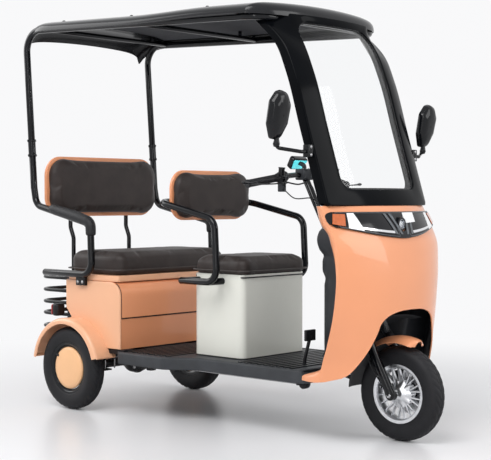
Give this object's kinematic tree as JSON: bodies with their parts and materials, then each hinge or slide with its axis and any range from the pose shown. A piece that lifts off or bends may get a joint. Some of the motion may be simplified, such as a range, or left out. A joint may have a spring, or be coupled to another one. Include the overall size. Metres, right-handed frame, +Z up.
{
  "type": "electric passenger tricycle",
  "caption": "Electric tricycle with a canopy and windscreen, a driver's seat on a battery box, a rear bench on a storage box and a rear luggage rack.",
  "frame": {"origin": "on the ground, midway along the overall length and on the centre line", "axes": "+X forward, +Y to the vehicle's left, +Z up"},
  "size_m": [2.0504, 1.0716, 1.7508],
  "materials": {
    "peach_paint": "gloss peach-orange paint on moulded panels",
    "cream_paint": "gloss cream",
    "black_gloss": "gloss black",
    "frame_black": "satin black",
    "floor_grey": "matt dark grey",
    "brown_leather": "dark brown leather-look upholstery",
    "tyre_rubber": "black rubber",
    "cast_silver": "bright cast",
    "clear_screen": "clear",
    "amber_lens": "amber lens",
    "soft_black": "soft black",
    "lining_grey": "plain grey lining"
  },
  "bodies": {
    "root": {"floor_board": "floor_grey", "main_frame": "frame_black", "front_shield": "peach_paint", "headlamp_panel": "black_gloss", "headlamp": "cast_silver", "indicator_right": "amber_lens", "indicator_left": "amber_lens", "inner_leg_shield": "floor_grey", "windscreen_frame": "black_gloss", "windscreen_glass": "clear_screen", "roof_panel": "black_gloss", "roof_lining": "lining_grey", "canopy_frame": "black_gloss", "rear_post_right": "black_gloss", "rear_post_left": "black_gloss", "armrest_pad_right": "soft_black", "armrest_pad_left": "soft_black", "rear_box": "peach_paint", "rear_backrest": "brown_leather", "rear_rack": "black_gloss", "rear_fender_right": "peach_paint", "rear_fender_left": "peach_paint", "rear_axle": "frame_black", "driver_box": "cream_paint", "battery_pack": "frame_black", "driver_backrest": "brown_leather", "driver_armrests": "black_gloss", "brake_pedal": "frame_black", "mirror_right": "black_gloss", "mirror_left": "black_gloss"},
    "steering": {"front_fork": "frame_black", "handlebar": "black_gloss", "grip_right": "soft_black", "grip_left": "soft_black", "display_unit": "black_gloss", "front_fender": "peach_paint", "mud_flap": "soft_black"},
    "front_wheel": {"front_tyre": "tyre_rubber", "front_rim": "cast_silver"},
    "rear_wheel_right": {"rear_tyre_right": "tyre_rubber", "rear_rim_right": "peach_paint"},
    "rear_wheel_left": {"rear_tyre_left": "tyre_rubber", "rear_rim_left": "peach_paint"},
    "driver_seat": {"driver_seat_pan": "frame_black", "driver_cushion": "brown_leather"},
    "rear_seat": {"rear_seat_pan": "frame_black", "rear_cushion": "brown_leather"},
    "box_door": {"box_door": "peach_paint"}
  },
  "joints": [
    {"name": "steering_turn", "type": "hinge", "parent": "root", "child": "steering", "pos_m": [0.81135, 0, 0.16657], "axis": [-0.4695, 0, 0.8829], "range_deg": [-40, 40]},
    {"name": "front_wheel_spin", "type": "hinge", "parent": "steering", "child": "front_wheel", "pos_m": [0.84225, 0, 0.183], "axis": [0, 1, 0], "continuous": true},
    {"name": "rear_wheel_right_spin", "type": "hinge", "parent": "root", "child": "rear_wheel_right", "pos_m": [-0.66325, -0.3815, 0.183], "axis": [0, 1, 0], "continuous": true},
    {"name": "rear_wheel_left_spin", "type": "hinge", "parent": "root", "child": "rear_wheel_left", "pos_m": [-0.66325, 0.3815, 0.183], "axis": [0, 1, 0], "continuous": true},
    {"name": "driver_seat_lift", "type": "hinge", "parent": "root", "child": "driver_seat", "pos_m": [-0.10325, 0, 0.612], "axis": [0, -1, 0], "range_deg": [0, 70]},
    {"name": "rear_seat_lift", "type": "hinge", "parent": "root", "child": "rear_seat", "pos_m": [-0.76125, 0, 0.5966], "axis": [0, -1, 0], "range_deg": [0, 75]},
    {"name": "box_door_drop", "type": "hinge", "parent": "root", "child": "box_door", "pos_m": [-0.37825, 0, 0.423], "axis": [0, 1, 0], "range_deg": [0, 90]}
  ]
}
